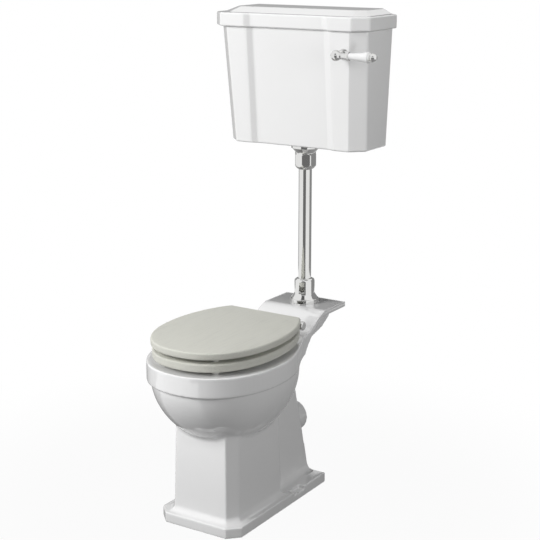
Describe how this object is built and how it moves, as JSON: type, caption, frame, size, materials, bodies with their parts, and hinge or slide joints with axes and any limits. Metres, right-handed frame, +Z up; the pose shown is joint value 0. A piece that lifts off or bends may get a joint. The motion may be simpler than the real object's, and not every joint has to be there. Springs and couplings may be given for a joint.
{
  "type": "mid level toilet",
  "caption": "Glazed ceramic pan with a hinged seat and lid, a chrome flush pipe and a wall-hung cistern with lift-off lid and a side lever that works a siphon.",
  "frame": {"origin": "on the floor, on the centre plane, at the middle of the foot's length", "axes": "+Z up, +Y from the front of the pan towards the wall, +X to the right of someone who faces the toilet"},
  "size_m": [0.5745, 0.719, 1.36],
  "materials": {
    "ceramic": "white gloss glaze",
    "handle_ceramic": "white gloss glaze",
    "seat_paint": "satin taupe-grey paint with faint grain",
    "chrome": "polished chrome plate",
    "brass": "machined brass",
    "steel": "bright zinc-plated steel",
    "rubber": "matt black rubber",
    "white_plastic": "moulded white plastic",
    "float_plastic": "matt orange moulded float"
  },
  "bodies": {
    "toilet": {"pan": "ceramic", "cistern": "ceramic", "hinge_bar": "chrome", "hinge_end_caps": "chrome", "hinge_pillars": "chrome", "pillar_washers": "rubber", "hinge_bolts": "steel", "bolt_washers": "rubber", "wing_nuts": "white_plastic", "flush_cone": "rubber", "pan_bell": "chrome", "flush_pipe": "chrome", "pipe_olive": "rubber", "pipe_nut": "chrome", "cistern_flange": "chrome", "flange_washer": "rubber", "siphon_body": "white_plastic", "siphon_tail": "white_plastic", "siphon_washer": "rubber", "lever_rosette": "chrome", "lever_bush": "brass", "lever_washer": "rubber", "lever_backnut": "brass", "valve_body": "brass", "valve_washers": "rubber", "valve_backnut": "brass", "valve_tube": "white_plastic", "float_pin": "steel"},
    "seat_ring": {"seat_ring": "seat_paint", "ring_buffers": "white_plastic", "ring_straps": "chrome", "ring_strap_screws": "steel"},
    "seat_lid": {"seat_lid": "seat_paint", "lid_buffers": "white_plastic", "lid_straps": "chrome", "lid_strap_screws": "steel"},
    "flush_lever": {"lever_spindle": "brass", "lever_crank": "brass", "crank_screw": "steel", "lever_arm": "chrome", "lever_collar": "chrome", "lever_handle": "handle_ceramic", "lever_end_cap": "chrome"},
    "siphon_lift": {"lift_rod": "steel", "lift_link": "brass", "diaphragm_plate": "white_plastic", "diaphragm_flap": "rubber"},
    "float": {"float_arm": "brass", "float_ball": "float_plastic"},
    "cistern_lid": {"cistern_lid": "ceramic"}
  },
  "joints": [
    {"name": "seat_ring_hinge", "type": "hinge", "parent": "toilet", "child": "seat_ring", "pos_m": [0, 0.128, 0.502], "axis": [1, 0, 0], "range_deg": [-95, 0]},
    {"name": "seat_lid_hinge", "type": "hinge", "parent": "seat_ring", "child": "seat_lid", "pos_m": [0, 0.128, 0.502], "axis": [-1, 0, 0], "range_deg": [0, 97]},
    {"name": "lever_turn", "type": "hinge", "parent": "toilet", "child": "flush_lever", "pos_m": [0.178, 0.18555, 1.246], "axis": [0, 1, 0], "range_deg": [0, 24], "stiffness_Nm_per_rad": 0.9, "springref_deg": -14.32},
    {"name": "siphon_lift", "type": "slide", "parent": "toilet", "child": "siphon_lift", "axis": [0, 0, 1], "range_m": [0, 0.034]},
    {"name": "float_swing", "type": "hinge", "parent": "toilet", "child": "float", "pos_m": [-0.178, 0.345, 1.228], "axis": [0, -1, 0], "range_deg": [0, 30]},
    {"name": "cistern_lid_lift", "type": "slide", "parent": "toilet", "child": "cistern_lid", "axis": [0, 0, 1], "range_m": [0, 0.12]}
  ],
  "couplings": [
    {"joint": "siphon_lift", "follows": "lever_turn", "m_per_rad": 0.077}
  ]
}
